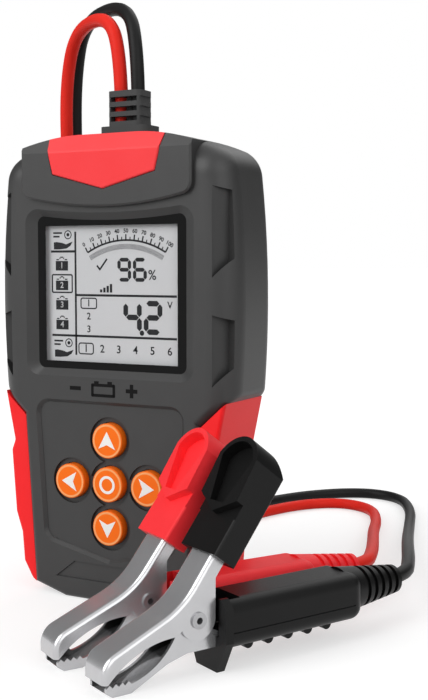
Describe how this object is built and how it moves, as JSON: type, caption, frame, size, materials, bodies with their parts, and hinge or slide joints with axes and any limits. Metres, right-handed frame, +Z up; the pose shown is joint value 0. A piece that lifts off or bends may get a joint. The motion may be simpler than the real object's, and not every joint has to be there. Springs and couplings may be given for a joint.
{
  "type": "battery tester",
  "caption": "Hand-held battery tester with a display, round push buttons, red side rails and leads that end in spring clamps, standing on its base.",
  "frame": {"origin": "middle of the flat base that the tester stands on", "axes": "X to the right of the display, Y to the back, Z up; the display faces -Y"},
  "size_m": [0.1391, 0.2739, 0.2033],
  "materials": {
    "case_grey": "fine grain",
    "rail_red": "satin",
    "insert_red": "satin",
    "lens_dark": "clear with a dark printed border",
    "lcd_glass": "grey liquid crystal glass",
    "backlight_white": "white",
    "board_green": "solder mask",
    "component_black": "moulded",
    "switch_black": "moulded",
    "screw_steel": "zinc plated",
    "button_orange": "satin",
    "gland_black": "matte",
    "lead_core": "matte",
    "lead_red": "matte silicone",
    "lead_black": "matte silicone",
    "jaw_chrome": "bright plating",
    "rivet_steel": "plated",
    "spring_steel": "spring wire",
    "lug_brass": "plain",
    "grip_red": "satin",
    "grip_black": "satin"
  },
  "bodies": {
    "tester": {"front_shell": "case_grey", "rear_shell": "case_grey", "side_rail_left": "rail_red", "side_rail_right": "rail_red", "top_insert": "insert_red", "display_window": "lens_dark", "lcd_panel": "lcd_glass", "lcd_backlight": "backlight_white", "main_board": "board_green", "board_components": "component_black", "key_switches": "switch_black", "case_screws": "screw_steel", "board_screws": "screw_steel", "strain_relief": "gland_black", "lead_tails": "lead_core", "lead_red": "lead_red", "lead_black": "lead_black", "red_lower_jaw": "jaw_chrome", "red_pivot_rivet": "rivet_steel", "red_jaw_spring": "spring_steel", "red_lead_lug": "lug_brass", "red_lug_rivet": "lug_brass", "red_lower_grip": "grip_red", "black_lower_jaw": "jaw_chrome", "black_pivot_rivet": "rivet_steel", "black_jaw_spring": "spring_steel", "black_lead_lug": "lug_brass", "black_lug_rivet": "lug_brass", "black_lower_grip": "grip_black"},
    "button_up_cap": {"button_up": "button_orange"},
    "button_down_cap": {"button_down": "button_orange"},
    "button_left_cap": {"button_left": "button_orange"},
    "button_right_cap": {"button_right": "button_orange"},
    "button_centre_cap": {"button_centre": "button_orange"},
    "red_upper_arm": {"red_upper_jaw": "jaw_chrome", "red_upper_grip": "grip_red"},
    "black_upper_arm": {"black_upper_jaw": "jaw_chrome", "black_upper_grip": "grip_black"}
  },
  "joints": [
    {"name": "button_up_press", "type": "slide", "parent": "tester", "child": "button_up_cap", "axis": [0, 1, 0], "range_m": [0, 0.0006], "stiffness_N_per_m": 800, "springref_m": -0.001},
    {"name": "button_down_press", "type": "slide", "parent": "tester", "child": "button_down_cap", "axis": [0, 1, 0], "range_m": [0, 0.0006], "stiffness_N_per_m": 800, "springref_m": -0.001},
    {"name": "button_left_press", "type": "slide", "parent": "tester", "child": "button_left_cap", "axis": [0, 1, 0], "range_m": [0, 0.0006], "stiffness_N_per_m": 800, "springref_m": -0.001},
    {"name": "button_right_press", "type": "slide", "parent": "tester", "child": "button_right_cap", "axis": [0, 1, 0], "range_m": [0, 0.0006], "stiffness_N_per_m": 800, "springref_m": -0.001},
    {"name": "button_centre_press", "type": "slide", "parent": "tester", "child": "button_centre_cap", "axis": [0, 1, 0], "range_m": [0, 0.0006], "stiffness_N_per_m": 800, "springref_m": -0.001},
    {"name": "red_clamp_hinge", "type": "hinge", "parent": "tester", "child": "red_upper_arm", "pos_m": [0.03315, -0.04823, 0.0161], "axis": [-0.8572, 0.515, 0], "range_deg": [0, 32], "stiffness_Nm_per_rad": 0.35, "springref_deg": -51.57, "deforming": ["red_jaw_spring"]},
    {"name": "black_clamp_hinge", "type": "hinge", "parent": "tester", "child": "black_upper_arm", "pos_m": [0.05394, -0.05763, 0.0161], "axis": [-0.891, 0.454, 0], "range_deg": [0, 32], "stiffness_Nm_per_rad": 0.35, "springref_deg": -51.57, "deforming": ["black_jaw_spring"]}
  ]
}
